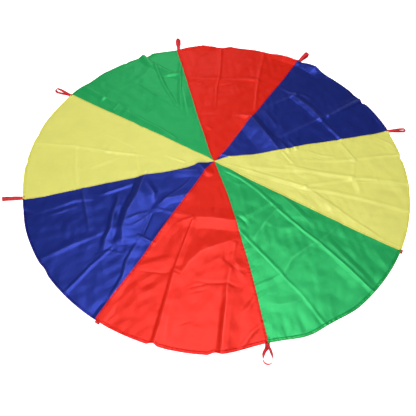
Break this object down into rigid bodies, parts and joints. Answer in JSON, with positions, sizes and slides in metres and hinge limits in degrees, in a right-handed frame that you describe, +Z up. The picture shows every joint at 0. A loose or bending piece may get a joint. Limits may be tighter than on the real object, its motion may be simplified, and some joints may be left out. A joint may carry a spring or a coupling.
{
  "type": "toy parachute",
  "caption": "Round play parachute of thin cloth gores in red, blue, yellow and green, spread on the ground, with red webbing loop handles that hinge round its hemmed rim.",
  "frame": {"origin": "on the ground, in the middle of the circle of the rim", "axes": "+Z up from the ground, +Y out along the seam between the green and the red gore, +X 90 degrees clockwise from it seen from above"},
  "size_m": [2.1867, 2.1295, 0.0343],
  "materials": {
    "red_cloth": "satin taffeta",
    "blue_cloth": "satin taffeta",
    "yellow_cloth": "satin taffeta",
    "green_cloth": "satin taffeta",
    "red_webbing": "matt woven webbing",
    "red_thread": "matt sewing thread"
  },
  "bodies": {
    "canopy": {"gore_1_red": "red_cloth", "gore_2_blue": "blue_cloth", "gore_3_yellow": "yellow_cloth", "gore_4_green": "green_cloth", "gore_5_red": "red_cloth", "gore_6_blue": "blue_cloth", "gore_7_yellow": "yellow_cloth", "gore_8_green": "green_cloth", "seam_1": "red_cloth", "seam_2": "blue_cloth", "seam_3": "yellow_cloth", "seam_4": "green_cloth", "seam_5": "red_cloth", "seam_6": "blue_cloth", "seam_7": "yellow_cloth", "seam_8": "green_cloth", "hem_1_red": "red_cloth", "hem_2_blue": "blue_cloth", "hem_3_yellow": "yellow_cloth", "hem_4_green": "green_cloth", "hem_5_red": "red_cloth", "hem_6_blue": "blue_cloth", "hem_7_yellow": "yellow_cloth", "hem_8_green": "green_cloth", "seam_crossing": "red_cloth", "handle_1_sewn_end": "red_webbing", "handle_2_sewn_end": "red_webbing", "handle_3_sewn_end": "red_webbing", "handle_4_sewn_end": "red_webbing", "handle_5_sewn_end": "red_webbing", "handle_6_sewn_end": "red_webbing", "handle_7_sewn_end": "red_webbing", "handle_8_sewn_end": "red_webbing", "handle_1_tack": "red_thread", "handle_2_tack": "red_thread", "handle_3_tack": "red_thread", "handle_4_tack": "red_thread", "handle_5_tack": "red_thread", "handle_6_tack": "red_thread", "handle_7_tack": "red_thread", "handle_8_tack": "red_thread"},
    "handle_1": {"handle_1": "red_webbing"},
    "handle_2": {"handle_2": "red_webbing"},
    "handle_3": {"handle_3": "red_webbing"},
    "handle_4": {"handle_4": "red_webbing"},
    "handle_5": {"handle_5": "red_webbing"},
    "handle_6": {"handle_6": "red_webbing"},
    "handle_7": {"handle_7": "red_webbing"},
    "handle_8": {"handle_8": "red_webbing"}
  },
  "joints": [
    {"name": "handle_1_fold", "type": "hinge", "parent": "canopy", "child": "handle_1", "pos_m": [0.00103, 0.98691, 0.00285], "axis": [0.9851, -0.1719, 0], "range_deg": [0, 135]},
    {"name": "handle_2_fold", "type": "hinge", "parent": "canopy", "child": "handle_2", "pos_m": [0.72338, 0.6988, 0.00285], "axis": [0.4818, -0.8763, 0], "range_deg": [0, 125]},
    {"name": "handle_3_fold", "type": "hinge", "parent": "canopy", "child": "handle_3", "pos_m": [1.00572, 0.01185, 0.00285], "axis": [-0.251, -0.968, 0], "range_deg": [0, 132]},
    {"name": "handle_4_fold", "type": "hinge", "parent": "canopy", "child": "handle_4", "pos_m": [0.71135, -0.71135, 0.00285], "axis": [-0.7071, -0.7071, 0], "range_deg": [0, 178]},
    {"name": "handle_5_fold", "type": "hinge", "parent": "canopy", "child": "handle_5", "pos_m": [-0.03303, -0.97623, 0.00285], "axis": [-0.9556, 0.2948, 0], "range_deg": [0, 110]},
    {"name": "handle_6_fold", "type": "hinge", "parent": "canopy", "child": "handle_6", "pos_m": [-0.70066, -0.72188, 0.00285], "axis": [-0.7176, 0.6965, 0], "range_deg": [0, 178]},
    {"name": "handle_7_fold", "type": "hinge", "parent": "canopy", "child": "handle_7", "pos_m": [-0.99795, 0.00683, 0.00285], "axis": [0.1004, 0.995, 0], "range_deg": [0, 145]},
    {"name": "handle_8_fold", "type": "hinge", "parent": "canopy", "child": "handle_8", "pos_m": [-0.71232, 0.71008, 0.00285], "axis": [0.4955, 0.8686, 0], "range_deg": [0, 128]}
  ]
}
